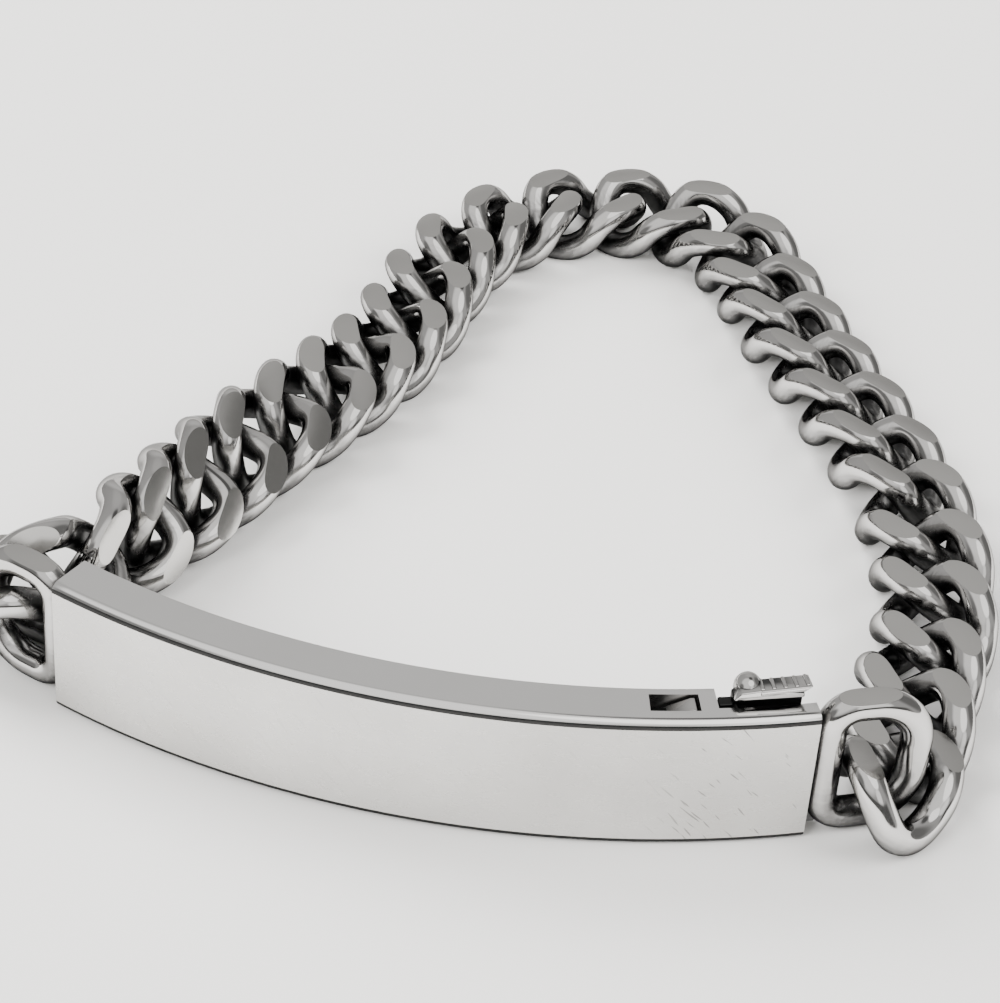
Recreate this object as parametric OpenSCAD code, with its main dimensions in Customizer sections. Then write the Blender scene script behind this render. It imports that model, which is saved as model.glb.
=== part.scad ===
// Chain bracelet lying in a loop on a flat surface.
// Twisted and filed curb links run from the left end of a curved hollow plate round to its right end.
// The plate's right end takes a push-in tongue, held by a spring lever in a notch in the top edge.
// Millimetres, +Z up. The plate stands on its long edge at the front, towards -Y.

/* [Link] */
// Half length of the wire's centre line, along the chain
link_half_l = 3.9; // [3.85:0.05:4]
// Half width of the wire's centre line, across the chain
link_half_w = 3.2; // [3.1:0.05:3.3]
// Wire diameter of a link
link_wire_d = 2.1; // [1.7:0.05:2.1]
// Twist of each end of a link about the chain's line, in degrees
link_twist = 44; // [40:1:48]
// How the twist grows from the link's middle to its ends, where 1 is evenly
link_twist_power = 0.6; // [0.6:0.1:0.9]
// Squareness of the link's outline, where 2 is an ellipse
link_square = 3; // [2.6:0.1:3.2]
// Height of the filed top and bottom faces above and below the link's middle
link_file_h = 2.1; // [1.9:0.05:2.4]

/* [Plate] */
// Radius of the plate's outer face, seen from above
plate_r = 61; // [60:0.5:62]
// Height of the plate, which is the bracelet's width when worn
plate_h = 9.8; // [9.6:0.1:10.2]
// Thickness of the plate from its outer face to its back
plate_t = 3.1; // [3:0.05:3.4]
// Angle of the plate's left end, measured from the front
plate_left_deg = -31.3; // [-32:0.1:-31]
// Angle of the plate's right end, measured from the front
plate_right_deg = 14.5; // [14:0.1:15]
// Wall of the hollow plate
plate_wall = 0.55; // [0.45:0.05:0.6]
// Radius of the soft outer top edge
plate_soft_r = 0.9; // [0.5:0.1:1.1]
// Length of the solid left end
plate_cap = 1.2; // [0.8:0.1:2]

/* [Rings] */
// Wire diameter of the two end rings
ring_wire_d = 2; // [1.9:0.05:2]
// Half height of the right ring's centre line
right_ring_half_h = 4.3; // [4.25:0.05:4.35]
// Half height of the left ring's centre line
left_ring_half_h = 3.9; // [3.85:0.05:3.95]
// How far the right ring stands forward of the plate's middle
right_ring_forward = 0.65; // [0.6:0.05:0.7]
// Distance of a ring's straight bar from the plate's end
ring_bar = 0.9; // [0.85:0.05:0.95]
// Distance of the far side of a ring's centre line from the plate's end
ring_reach = 6.5; // [6.4:0.05:6.5]
// Radius of the turns at a ring's far side
ring_turn_r = 3.2; // [3:0.05:3.4]

/* [Clasp] */
// Distance of the lever's pin from the plate's right end
pin_at = 12.5; // [12:0.1:13]
// Height of the pin above the surface
pin_z = 8.1; // [8:0.05:8.2]
// Pin diameter
pin_d = 0.8; // [0.7:0.05:0.85]
// Left end of the window in the top edge, from the plate's right end
window_from = 10.3; // [10:0.1:10.5]
// Right end of the window in the top edge, from the plate's right end
window_to = 7.2; // [7:0.1:7.3]
// Length of the notch that opens towards the plate's right end
notch_l = 6.1; // [6:0.1:6.3]
// Depth of the notch below the top edge
notch_h = 2.2; // [2:0.1:2.4]
// Diameter of the small ball on the lever
ball_d = 1.8; // [1.4:0.1:1.9]

/* [Hidden] */
$fn = 64;
STEEL = "silver";
SATIN = "gainsboro";
plate_centre = [5.58, 23.62, 0];
fit_gap = 0.12;

// The chain's lay. Columns: link, heading, roll, step from the link before it.
// The rows between are spread evenly.
LAY = [
    [3, 58, 76, 4.9],
    [4, 60, 62, 5.1],
    [5, 64, 48, 5.2],
    [7, 59, 23, 5.6],
    [9, 68, 2, 5.6],
    [10, 74, -2, 5.4],
    [11, 72, -4, 5.2],
    [12, 58, -5, 5.3],
    [13, 37, -3, 5.4],
    [14, 14, 0, 5.4],
    [15, -10, 0, 5.4],
    [16, -45, 5, 5.3],
    [17, -69, 6, 5.5],
    [18, -73, -5, 5.6],
    [20, -68, -8, 5.6],
    [22, -72, -9, 5.6],
    [23, -80, 6, 5.6],
    [24, -87, 6, 5.6]
];
// The links near the rings, which lie as they fall. Columns: link, x, y, z, heading, roll, pitch.
LOOSE = [
    [1, -30.51, -22.7, 3.82, 140, -12, 22],
    [2, -27.3, -20.54, 3.83, 16, 60, 16],
    [25, 30, -16.59, 2.28, -88, 4, 3],
    [26, 28.64, -22.03, 2.17, -102, 1, 1],
    [27, 27.51, -27.19, 2.16, -103, 1, 1],
    [28, 26.12, -32.6, 2.77, -106, -16, -9]
];
chain_start = [-23.58, -16.56];
first_laid = 3;
last_laid = 24;
link_count = 28;
link_rings = 16;
wire_sides = 6;

function link_name(k) = str("link_", k < 10 ? "0" : "", k);

// One link, in its own frame: +X along the chain, +Y across it, +Z up

// Signed power, for the squared oval
function soft_power(v, p) = sign(v) * pow(abs(v), p);

// Point of the twisted centre line at the turn angle t
function line_at(t) =
    let (x = link_half_l * soft_power(cos(t), 2 / link_square),
         y = link_half_w * soft_power(sin(t), 2 / link_square),
         twist = -link_twist * soft_power(x / link_half_l, link_twist_power))
    [x, y * cos(twist), y * sin(twist)];

function unit(v) = v / norm(v);

// Ring of wire points round the centre line at the turn angle t, filed flat above and below
function wire_ring(t) =
    let (along = unit(line_at(t + 1) - line_at(t - 1)),
         side = unit(cross([0, 0, 1], along)),
         up = cross(along, side))
    [for (k = [0:wire_sides - 1])
        let (a = 360 * k / wire_sides,
             p = line_at(t) + link_wire_d / 2 * (cos(a) * side + sin(a) * up))
        [p.x, p.y, max(-link_file_h, min(link_file_h, p.z))]];

link_points = [for (i = [0:link_rings - 1]) each wire_ring(360 * (i + 0.5) / link_rings)];

function wire_index(i, k) = (i % link_rings) * wire_sides + k % wire_sides;

link_faces = [for (i = [0:link_rings - 1]) for (k = [0:wire_sides - 1]) each [
    [wire_index(i, k), wire_index(i, k + 1), wire_index(i + 1, k + 1)],
    [wire_index(i, k), wire_index(i + 1, k + 1), wire_index(i + 1, k)]
]];

// The chain's lay

function heading_of(k) = lookup(k, [for (row = LAY) [row[0], row[1]]]);
function roll_of(k) = lookup(k, [for (row = LAY) [row[0], row[2]]]);
function step_of(k) = lookup(k, [for (row = LAY) [row[0], row[3]]]);

// Height of a rolled link's middle when its lowest point touches the surface
function rest_z(roll) = -min([for (p = link_points) sin(roll) * p.y + cos(roll) * p.z]);

// Places from the first laid link to the last, each one step along the mean of two headings
laid_places = [for (k = first_laid, p = chain_start; k <= last_laid;
    k = k + 1, p = p + step_of(k) * [cos(mid_heading(k)), sin(mid_heading(k))]) p];

function mid_heading(k) = (heading_of(k) + heading_of(k - 1)) / 2;

// Lies one link in its place in the loop
module chain_link(k) {
    loose = [for (row = LOOSE) if (row[0] == k) row];
    is_loose = len(loose) > 0;
    place = is_loose
        ? [loose[0][1], loose[0][2], loose[0][3]]
        : concat(laid_places[k - first_laid], [rest_z(roll_of(k))]);
    turn = is_loose ? [loose[0][5], loose[0][6], loose[0][4]] : [roll_of(k), 0, heading_of(k)];
    color(STEEL) translate(place) rotate(turn) polyhedron(points = link_points, faces = link_faces);
}

// The plate's own measure: s runs leftwards from its right end, depth runs back from its outer face

function angle_at(s) = plate_right_deg - s / plate_r * 180 / PI;
plate_l = (plate_right_deg - plate_left_deg) * PI / 180 * plate_r;

// Turns what is drawn at the front to the place s along the plate
module turn_to(s) {
    translate(plate_centre) rotate([0, 0, angle_at(s)]) children();
}

// A block that follows the plate's curve
module bend_block(s0, s1, depth0, depth1, z0, z1) {
    translate(plate_centre) rotate([0, 0, angle_at(s1) - 90])
        rotate_extrude(angle = angle_at(s0) - angle_at(s1))
            translate([plate_r - depth1, z0]) square([depth1 - depth0, z1 - z0]);
}

// Cuts a square corner at the origin down to the radius r
module corner_cutter(r) {
    difference() {
        translate([-r, -r]) square(r + past);
        translate([-r, -r]) circle(r);
    }
}

// Cross-section of the plate: x is the radius, y the height
module plate_section() {
    difference() {
        translate([plate_r - plate_t, 0]) square([plate_t, plate_h]);
        translate([plate_r, plate_h]) corner_cutter(plate_soft_r);
    }
}

// Sizes shared by the two rings: the radius of their inner corners, and their lift off the surface
ring_corner_r = 1.6;
ring_lift = 0.05;

// A quarter turn of a ring's wire round (x, z), from the given angle
module wire_turn(x, z, r, from) {
    translate([x, 0, z]) rotate([90, 0, 0]) rotate([0, 0, from])
        rotate_extrude(angle = 90) translate([r, 0]) circle(d = ring_wire_d);
}

// A D-shaped ring in the plane of the plate's end, its bar against the end face
module end_ring(half_h, forward) {
    corner_x = ring_bar + ring_corner_r;
    corner_z = half_h - ring_corner_r;
    turn_x = ring_reach - ring_turn_r;
    turn_z = half_h - ring_turn_r;
    translate([0, -(plate_r - plate_t / 2) - forward, half_h + ring_wire_d / 2 + ring_lift]) {
        translate([ring_bar, 0, -corner_z]) cylinder(h = 2 * corner_z, d = ring_wire_d);
        translate([ring_reach, 0, -turn_z]) cylinder(h = 2 * turn_z, d = ring_wire_d);
        for (side = [-1, 1])
            translate([corner_x, 0, side * half_h]) rotate([0, 90, 0])
                cylinder(h = turn_x - corner_x, d = ring_wire_d);
        wire_turn(corner_x, corner_z, ring_corner_r, 90);
        wire_turn(corner_x, -corner_z, ring_corner_r, 180);
        wire_turn(turn_x, -turn_z, ring_turn_r, 270);
        wire_turn(turn_x, turn_z, ring_turn_r, 0);
    }
}

// Sizes of the cuts in the plate's top edge, and how far a cut runs past a face
window_back = 0.5;
window_w = 1.5;
window_depth = 1.5;
strip_w = 1.3;
past = 1;

// Hollow curved plate with the left ring soldered to its solid end
module plate() {
    window_rear = plate_t - window_back;
    color(SATIN) difference() {
        union() {
            translate(plate_centre) rotate([0, 0, plate_left_deg - 90])
                rotate_extrude(angle = plate_right_deg - plate_left_deg) plate_section();
            turn_to(plate_l) mirror([1, 0, 0]) end_ring(left_ring_half_h, 0);
        }
        bend_block(-past, plate_l - plate_cap, plate_wall, plate_t - plate_wall,
            plate_wall, plate_h - plate_wall);
        bend_block(window_to, window_from, window_rear - window_w, window_rear,
            plate_h - window_depth, plate_h + past);
        bend_block(-past, notch_l, strip_w, plate_t + past, plate_h - notch_h, plate_h + past);
    }
}

// Sizes of the tongue: its end flange, the block in the box and the two cheeks that hold the pin
flange_l = 0.7;
flange_drop = 1.6;
block_h = 2.6;
cheek_t = 0.42;
cheek_l = 2.2;
pin_grip = 0.02;
pin_play = 0.1;

// Cylinder along the lever's pin, from depth0 back to depth1
module pin_round(d, depth0, depth1) {
    turn_to(pin_at) rotate([90, 0, 0]) translate([0, pin_z, plate_r - depth1])
        cylinder(h = depth1 - depth0, d = d);
}

// Tongue that fills the box, with its end flange and the right ring soldered to it
module tongue() {
    front = plate_wall + fit_gap;
    back = plate_t - plate_wall - fit_gap;
    bottom = plate_wall + fit_gap;
    cheek_top = plate_h - plate_wall - fit_gap;
    color(STEEL) difference() {
        union() {
            bend_block(-fit_gap - flange_l, -fit_gap, front, back, bottom, plate_h - flange_drop);
            bend_block(-fit_gap - flange_l / 2, pin_at + cheek_l / 2, front, back, bottom, bottom + block_h);
            for (depth = [front, back - cheek_t])
                bend_block(pin_at - cheek_l / 2, pin_at + cheek_l / 2, depth, depth + cheek_t,
                    bottom, cheek_top);
            turn_to(-fit_gap) end_ring(right_ring_half_h, right_ring_forward);
        }
        pin_round(pin_d - pin_grip, 0, plate_t);
    }
}

// Small round pin that the lever turns on
module lever_pin() {
    color(STEEL) pin_round(pin_d, plate_wall + fit_gap, plate_t - plate_wall - fit_gap);
}

// Distance from the pin, along its tangent, of the place s
function from_pin(s) = (plate_r - plate_t / 2) * sin(angle_at(s) - angle_at(pin_at));

// Side profile given as [s, height] points, carried through the plate's thickness
module side_slab(profile) {
    turn_to(pin_at) rotate([90, 0, 0]) linear_extrude(plate_r + past)
        polygon([for (p = profile) [from_pin(p[0]), p[1]]]);
}

// Sizes of the spring leaf and of its barb
eye_d = 1.8;
neck_w = 0.66;
neck_l = 1.5;
neck_lap = 0.2;
leaf_gap = 0.2;
leaf_top = plate_h - plate_wall - leaf_gap;
leaf_t = 0.7;
leaf_side_gap = 0.3;
leaf_bend = window_to - 1.2;
barb_at = window_to + 0.2;
barb_l = 2.6;
barb_flat = 0.3;
barb_w = 1.2;
barb_top = plate_h - 0.1;

// Sizes of the lever. The heights are above the plate's top edge.
lever_from = 5.2;
lever_to = 0.8;
lever_slope = 0.4;
lever_low = 0.95;
lever_high = 1.1;
lever_under = 0.05;
lever_front = strip_w + 0.2;
lever_back = 2.5;
lever_edge = 0.05;
thumb_from = 3.6;
thumb_to = 0.3;
thumb_t = 0.35;
thumb_rise = 0.04;
thumb_ribs = 5;
rib_d = 0.3;
ball_at = 4.15;
ball_back = 2.2;
ball_up = 0.8;

// Leaf from the pin's eye, under the bridge, to the lever
module leaf() {
    inner = plate_t - plate_wall - leaf_side_gap;
    intersection() {
        side_slab([
            [pin_at, leaf_top], [leaf_bend, leaf_top], [lever_from, plate_h + 2 * lever_edge],
            [lever_from - 2 * lever_slope, barb_top], [leaf_bend, leaf_top - leaf_t],
            [pin_at, leaf_top - leaf_t]
        ]);
        union() {
            bend_block(leaf_bend, pin_at - neck_l + neck_lap, plate_wall + leaf_side_gap, inner, 0, plate_h);
            bend_block(lever_from - past, leaf_bend + neck_lap, lever_front, inner, 0, plate_h + past);
            bend_block(pin_at - neck_l, pin_at, (plate_t - neck_w) / 2, (plate_t + neck_w) / 2, 0, plate_h);
        }
    }
}

// Ramp that rises in the window to a square step
module barb() {
    middle = plate_t - window_back - window_w / 2;
    root = leaf_top - leaf_t / 2;
    intersection() {
        side_slab([
            [barb_at + barb_l, root], [barb_at + barb_flat, barb_top], [barb_at, barb_top], [barb_at, root]
        ]);
        bend_block(barb_at - past, window_from, middle - barb_w / 2, middle + barb_w / 2,
            0, plate_h + past);
    }
}

// Height of the thumb plate's top at the place s
function thumb_z(s) = plate_h + lever_high + (thumb_from - s) * thumb_rise;

// Lever body, ribbed thumb plate with its overhanging tip, and the small ball
module lever() {
    intersection() {
        side_slab([
            [lever_from, plate_h + 2 * lever_edge], [lever_from - lever_slope, plate_h + lever_low],
            [thumb_from, plate_h + lever_high], [lever_to, plate_h + lever_high - thumb_t],
            [lever_to, plate_h - lever_under], [lever_from - 2 * lever_slope, barb_top]
        ]);
        bend_block(lever_to - past, lever_from + past, lever_front, lever_back, 0, plate_h + 2 * past);
    }
    intersection() {
        side_slab([
            [thumb_from, thumb_z(thumb_from)], [thumb_to, thumb_z(thumb_to)],
            [lever_to, thumb_z(lever_to) - thumb_t], [thumb_from, thumb_z(thumb_from) - thumb_t]
        ]);
        bend_block(thumb_to - past, thumb_from + past, lever_front - lever_edge, lever_back + lever_edge,
            plate_h, plate_h + 2 * past);
    }
    for (i = [0:thumb_ribs - 1]) {
        s = thumb_to + rib_d + i * (thumb_from - thumb_to - 1.5 * rib_d) / (thumb_ribs - 1);
        turn_to(s) translate([0, -(plate_r - lever_back), thumb_z(s) - lever_edge]) rotate([90, 0, 0])
            cylinder(h = lever_back - lever_front, d = rib_d);
    }
    turn_to(ball_at) translate([0, -(plate_r - ball_back), plate_h + ball_up]) sphere(d = ball_d);
}

// Leaf, barb, lever and the eye on the pin, as one piece
module spring_lever() {
    color(STEEL) difference() {
        union() {
            leaf();
            barb();
            lever();
            pin_round(eye_d, (plate_t - neck_w) / 2, (plate_t + neck_w) / 2);
        }
        pin_round(pin_d + pin_play, 0, plate_t);
    }
}

plate();
tongue();
spring_lever();
lever_pin();
for (k = [1:link_count]) chain_link(k);
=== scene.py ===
"""Chain bracelet with a curved plate, lying in a loop on a pale surface.

The curb links, the hollow plate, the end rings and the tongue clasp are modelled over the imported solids.
Each piece is built in millimetres and brought to metres when it is finished.
"""
import logging
from dataclasses import dataclass, field
from enum import Enum, IntEnum
from math import atan2, copysign, cos, pi, radians, sin
from typing import Callable, Sequence

import bmesh
import bpy
import numpy as np
from mathutils import Matrix, Vector
from mathutils.bvhtree import BVHTree


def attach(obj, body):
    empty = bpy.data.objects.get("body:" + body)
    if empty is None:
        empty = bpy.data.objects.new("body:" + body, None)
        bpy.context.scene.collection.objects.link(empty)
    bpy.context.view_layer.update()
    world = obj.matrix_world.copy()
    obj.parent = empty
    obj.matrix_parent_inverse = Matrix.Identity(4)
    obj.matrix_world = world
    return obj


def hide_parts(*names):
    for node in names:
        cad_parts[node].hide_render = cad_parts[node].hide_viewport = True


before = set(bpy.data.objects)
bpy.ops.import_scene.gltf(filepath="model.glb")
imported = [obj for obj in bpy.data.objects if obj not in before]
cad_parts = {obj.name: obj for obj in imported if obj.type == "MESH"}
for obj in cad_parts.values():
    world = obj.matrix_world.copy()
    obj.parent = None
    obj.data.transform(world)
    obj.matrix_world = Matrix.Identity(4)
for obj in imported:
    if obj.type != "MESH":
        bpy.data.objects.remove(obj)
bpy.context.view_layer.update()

MM = 0.001
# Corners closer than this are in one place, in millimetres
NEAR = 0.01
# A normal leans a way when its share that way is over this
LEAN = 0.01
# How far a cut reaches past the piece that it cuts, in millimetres
CUT_PAST = 1.0
# A face with more corners than this is a filed flat and keeps flat shading
FLAT_ABOVE = 12
# Edges that bend more than this stay sharp
SHARP_ABOVE = radians(35)
# Attribute that says how hidden each corner is
RECESS = "recess"
LOG = logging.getLogger("bracelet")

Mesh = bmesh.types.BMesh
Edge = bmesh.types.BMEdge
Piece = bpy.types.Object
Material = bpy.types.Material
Socket = bpy.types.NodeSocket
Colour = tuple[float, float, float]
Path = Callable[[float], Vector]
Stretch = tuple[float, Path]


class Slot(Enum):
    """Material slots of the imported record."""

    PLATE = "plate_metal"
    CLASP = "clasp_metal"
    LINK = "link_metal"


class Body(Enum):
    """Bodies that pieces ride on."""

    BRACELET = "bracelet"
    LEVER = "lever"


class WireZone(IntEnum):
    """Material indices on links and rings."""

    WIRE = 0
    FLAT = 1
    PAINTED_RIM = 2


class PlateZone(IntEnum):
    """Material indices on the plate."""

    FACE = 0
    BRIGHT = 1
    PAINTED_DARK = 2


class LeverZone(IntEnum):
    """Material indices on the lever."""

    METAL = 0
    PAINTED_SHADE = 1


def finish_mesh(name: str, mesh: Mesh, materials: Sequence[Material], weighted: bool = False) -> Piece:
    """Turns a millimetre bmesh into a finished object in metres at the origin.

    Args:
        name: Name of the piece.
        mesh: The bmesh, which is freed here.
        materials: Materials, in the order of the faces' material indices.
        weighted: Whether large faces keep flat shading next to small bevels.

    Returns:
        The new object, linked to the scene.
    """
    bmesh.ops.recalc_face_normals(mesh, faces=mesh.faces)
    if mesh.calc_volume(signed=True) < 0:
        bmesh.ops.reverse_faces(mesh, faces=mesh.faces)
    for face in mesh.faces:
        face.smooth = len(face.verts) <= FLAT_ABOVE
    data = bpy.data.meshes.new(name)
    mesh.to_mesh(data)
    mesh.free()
    data.transform(Matrix.Scale(MM, 4))
    data.set_sharp_from_angle(angle=SHARP_ABOVE)
    piece = bpy.data.objects.new(name, data)
    bpy.context.scene.collection.objects.link(piece)
    for material in materials:
        data.materials.append(material)
    if weighted:
        normals = piece.modifiers.new("even_normals", "WEIGHTED_NORMAL")
        normals.keep_sharp = True
    return piece


def dress(piece: Piece, body: Body, slot: Slot, *nodes: str) -> Piece:
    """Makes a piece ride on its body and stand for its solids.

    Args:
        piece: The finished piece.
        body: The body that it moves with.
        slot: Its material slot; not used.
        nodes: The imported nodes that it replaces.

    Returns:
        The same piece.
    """
    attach(piece, body.value)
    if nodes:
        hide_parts(*nodes)
    LOG.info("%s: %d faces", piece.name, len(piece.data.polygons))
    return piece


def box(low: Sequence[float], high: Sequence[float]) -> Mesh:
    """Makes a plain box between two corners.

    Args:
        low: The lowest corner.
        high: The highest corner.

    Returns:
        A closed mesh.
    """
    mesh = bmesh.new()
    bmesh.ops.create_cube(mesh, size=1)
    low, high = Vector(low), Vector(high)
    bmesh.ops.scale(mesh, vec=high - low, verts=mesh.verts)
    bmesh.ops.translate(mesh, vec=(low + high) / 2, verts=mesh.verts)
    return mesh


def slab(profile: Sequence[Sequence[float]], front: float, back: float) -> Mesh:
    """Extrudes a side profile backwards.

    Args:
        profile: Corners as (x, z) pairs.
        front: Depth of the front side.
        back: Depth of the back side.

    Returns:
        A closed mesh.
    """
    mesh = bmesh.new()
    ring = [mesh.verts.new((x, front, z)) for x, z in profile]
    face = mesh.faces.new(ring)
    moved = bmesh.ops.extrude_face_region(mesh, geom=[face], use_keep_orig=True)["geom"]
    verts = [item for item in moved if isinstance(item, bmesh.types.BMVert)]
    bmesh.ops.translate(mesh, vec=(0, back - front, 0), verts=verts)
    bmesh.ops.recalc_face_normals(mesh, faces=mesh.faces)
    return mesh


def rod(diameter: float, length: float, middle: Sequence[float], segments: int, edge: float = 0.0) -> Mesh:
    """Makes a round rod that lies along y.

    Args:
        diameter: Its diameter.
        length: Its length.
        middle: Its middle.
        segments: Sides of the rod.
        edge: Width of its rounded ends, or 0 for plain ends.

    Returns:
        A closed mesh.
    """
    mesh = bmesh.new()
    bmesh.ops.create_cone(mesh, cap_ends=True, segments=segments, radius1=diameter / 2, radius2=diameter / 2,
                          depth=length)
    if edge:
        soften(mesh, edge, 2, above=radians(60))
    bmesh.ops.rotate(mesh, cent=(0, 0, 0), matrix=Matrix.Rotation(pi / 2, 3, "X"), verts=mesh.verts)
    bmesh.ops.translate(mesh, vec=middle, verts=mesh.verts)
    return mesh


def merge(parts: Sequence[Mesh]) -> Mesh:
    """Puts several meshes into one and frees them.

    Args:
        parts: The meshes.

    Returns:
        One mesh with all their faces.
    """
    whole = bmesh.new()
    for part in parts:
        data = bpy.data.meshes.new("part")
        part.to_mesh(data)
        part.free()
        whole.from_mesh(data)
        bpy.data.meshes.remove(data)
    return whole


def cut_away(base: Mesh, others: Sequence[Mesh]) -> Mesh:
    """Cuts meshes from a base with exact booleans.

    Args:
        base: The mesh that is cut.
        others: The meshes that are cut away.

    Returns:
        The new mesh.
    """
    def as_object(mesh: Mesh) -> Piece:
        """Makes a helper object of a mesh.

        Args:
            mesh: The mesh, which is freed here.

        Returns:
            The helper, linked to the scene.
        """
        data = bpy.data.meshes.new("helper")
        mesh.to_mesh(data)
        mesh.free()
        helper = bpy.data.objects.new("helper", data)
        bpy.context.scene.collection.objects.link(helper)
        return helper

    helpers = [as_object(base)] + [as_object(other) for other in others]
    for helper in helpers[1:]:
        step = helpers[0].modifiers.new("cut", "BOOLEAN")
        step.operation = "DIFFERENCE"
        step.solver = "EXACT"
        step.object = helper
    graph = bpy.context.evaluated_depsgraph_get()
    result = bmesh.new()
    result.from_object(helpers[0], graph)
    for helper in helpers:
        data = helper.data
        bpy.data.objects.remove(helper)
        bpy.data.meshes.remove(data)
    bmesh.ops.remove_doubles(result, verts=result.verts, dist=1e-4)
    return result


def soften(mesh: Mesh, width: float, segments: int = 2, above: float = radians(30),
           chosen: Callable[[Edge], bool] | None = None) -> None:
    """Rounds the sharp edges of a mesh.

    Args:
        mesh: The mesh.
        width: Width of the rounding.
        segments: Steps across the rounding.
        above: Only edges that bend more than this are rounded.
        chosen: A further test that an edge has to pass.
    """
    edges = [edge for edge in mesh.edges
             if len(edge.link_faces) == 2 and edge.calc_face_angle(0) > above
             and (chosen is None or chosen(edge))]
    bmesh.ops.bevel(mesh, geom=edges, offset=width, offset_type="OFFSET", segments=segments, profile=0.5,
                    affect="EDGES", material=-1, clamp_overlap=True)


def slices(mesh: Mesh, start: float, end: float, pitch: float) -> None:
    """Adds cuts across x, so that a long straight piece can be bent.

    Args:
        mesh: The straight piece.
        start: Its lowest x.
        end: Its highest x.
        pitch: Space between the cuts.
    """
    count = max(2, round((end - start) / pitch))
    for step in range(1, count):
        place = start + (end - start) * step / count
        bmesh.ops.bisect_plane(mesh, geom=[*mesh.verts, *mesh.edges, *mesh.faces], dist=1e-4,
                               plane_co=(place, 0, 0), plane_no=(1, 0, 0))


@dataclass(frozen=True)
class Wire:
    """A closed loop of round wire bent along a path.

    The loop starts as a spun torus, so that it closes with no open join. Each of its vertices is then carried
    to the path's frame at the same turn. The path's direction is read a look ahead and behind.
    """

    diameter: float
    rings: int = 96
    sides: int = 32
    torus: float = 3.0
    look: float = 0.01

    def loop(self, path: Path, side_of: Callable[[Vector], Vector]) -> Mesh:
        """Builds the bent wire.

        Args:
            path: Point of the centre line at a turn in radians.
            side_of: Sideways direction of the section for a direction of travel.

        Returns:
            The closed mesh.
        """
        mesh = bmesh.new()
        lie = Matrix.Translation((self.torus, 0, 0)) @ Matrix.Rotation(pi / 2, 4, "X")
        bmesh.ops.create_circle(mesh, segments=self.sides, radius=1, matrix=lie)
        bmesh.ops.spin(mesh, geom=[*mesh.verts, *mesh.edges], cent=(0, 0, 0), axis=(0, 0, 1),
                       angle=2 * pi, steps=self.rings, use_merge=True, use_duplicate=False)
        frames: dict[int, tuple[Vector, Vector, Vector]] = {}
        step = 2 * pi / self.rings
        for vertex in mesh.verts:
            place = vertex.co
            ring = round(atan2(place.y, place.x) / step) % self.rings
            if ring not in frames:
                turn = (ring + 0.5) * step
                along = (path(turn + self.look) - path(turn - self.look)).normalized()
                side = side_of(along).normalized()
                frames[ring] = (path(turn), side, along.cross(side))
            centre, side, up = frames[ring]
            out = Vector((place.x, place.y)).length - self.torus
            vertex.co = centre + self.diameter / 2 * (side * out + up * place.z)
        bmesh.ops.recalc_face_normals(mesh, faces=mesh.faces)
        return mesh


def file_flat(mesh: Mesh, height: float, up: float, edge: float) -> None:
    """Files everything beyond a level plane away and leaves flats with a fine rounded edge.

    Args:
        mesh: The mesh.
        height: Height of the plane.
        up: 1 to file from above, -1 from below.
        edge: Width of the rounded edge round each flat.
    """
    cut = bmesh.ops.bisect_plane(mesh, geom=[*mesh.verts, *mesh.edges, *mesh.faces], dist=1e-5,
                                 plane_co=(0, 0, height), plane_no=(0, 0, up), clear_outer=True)
    rim = [item for item in cut["geom_cut"] if isinstance(item, Edge)]
    for face in bmesh.ops.edgeloop_fill(mesh, edges=rim)["faces"]:
        face.material_index = WireZone.FLAT
    rounded = bmesh.ops.bevel(mesh, geom=rim, offset=edge, offset_type="OFFSET", segments=3, profile=0.5,
                              affect="EDGES", material=-1, clamp_overlap=True)["faces"]
    # The rounded edge round each flat takes a dark finish: a painted dark reflection that outlines the flat.
    for face in rounded:
        face.material_index = WireZone.PAINTED_RIM
    for face in mesh.faces:
        if len(face.verts) > FLAT_ABOVE:
            face.material_index = WireZone.FLAT


@dataclass(frozen=True)
class CurbLink:
    """One twisted and filed curb link, with its length along x and its flats facing z."""

    half_length: float = 3.9
    half_width: float = 3.2
    squareness: float = 3.0
    twist: float = radians(44)
    twist_power: float = 0.6
    twist_ease: float = 0.015
    wire: Wire = Wire(2.1)
    filed_height: float = 2.1
    flat_edge: float = 0.07

    def point(self, turn: float) -> Vector:
        """Finds a point of the twisted centre line.

        Args:
            turn: How far round the link, in radians.

        Returns:
            The point.
        """
        across = abs(cos(turn) / self.half_length) ** self.squareness
        along = abs(sin(turn) / self.half_width) ** self.squareness
        reach = (across + along) ** (-1 / self.squareness)
        x, y = reach * cos(turn), reach * sin(turn)
        share = x / self.half_length
        eased = share / (share * share + self.twist_ease) ** ((1 - self.twist_power) / 2)
        bend = -self.twist * eased
        return Vector((x, y * cos(bend), y * sin(bend)))

    def build(self) -> Mesh:
        """Builds the link at the origin.

        Returns:
            The closed mesh, with its flats and their painted dark rims marked.
        """
        mesh = self.wire.loop(self.point, lambda along: Vector((0, 0, 1)).cross(along))
        for up in (1, -1):
            file_flat(mesh, up * self.filed_height, up, self.flat_edge)
        return mesh


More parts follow.
